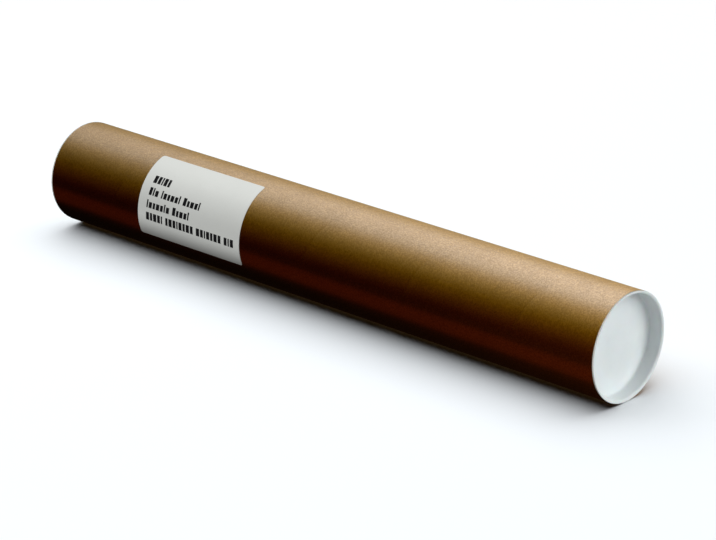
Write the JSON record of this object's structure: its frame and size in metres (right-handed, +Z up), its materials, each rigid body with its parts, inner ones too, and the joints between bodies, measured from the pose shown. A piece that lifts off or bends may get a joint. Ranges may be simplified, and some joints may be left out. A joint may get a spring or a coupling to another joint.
{
  "type": "cardboard mailing tube",
  "caption": "Round spiral-wound cardboard tube with a white push-in plastic cap in each end and a paper address label on its side.",
  "frame": {"origin": "centre of the lower cap's lip face, which the tube stands on", "axes": "+Z up along the tube's axis towards the upper cap; the middle of the address label faces -Y"},
  "size_m": [0.0789, 0.0792, 0.5303],
  "materials": {
    "kraft_board": "matte",
    "white_plastic": "satin",
    "label_paper": "matte",
    "black_print": "matte"
  },
  "bodies": {
    "lower_cap": {"lower_cap": "white_plastic"},
    "tube": {"tube": "kraft_board", "address_label": "label_paper", "label_print": "black_print"},
    "upper_cap": {"upper_cap": "white_plastic"}
  },
  "joints": [
    {"name": "lower_cap_pull", "type": "slide", "parent": "lower_cap", "child": "tube", "axis": [0, 0, 1], "range_m": [0, 0.1]},
    {"name": "upper_cap_pull", "type": "slide", "parent": "tube", "child": "upper_cap", "axis": [0, 0, 1], "range_m": [0, 0.12]}
  ]
}
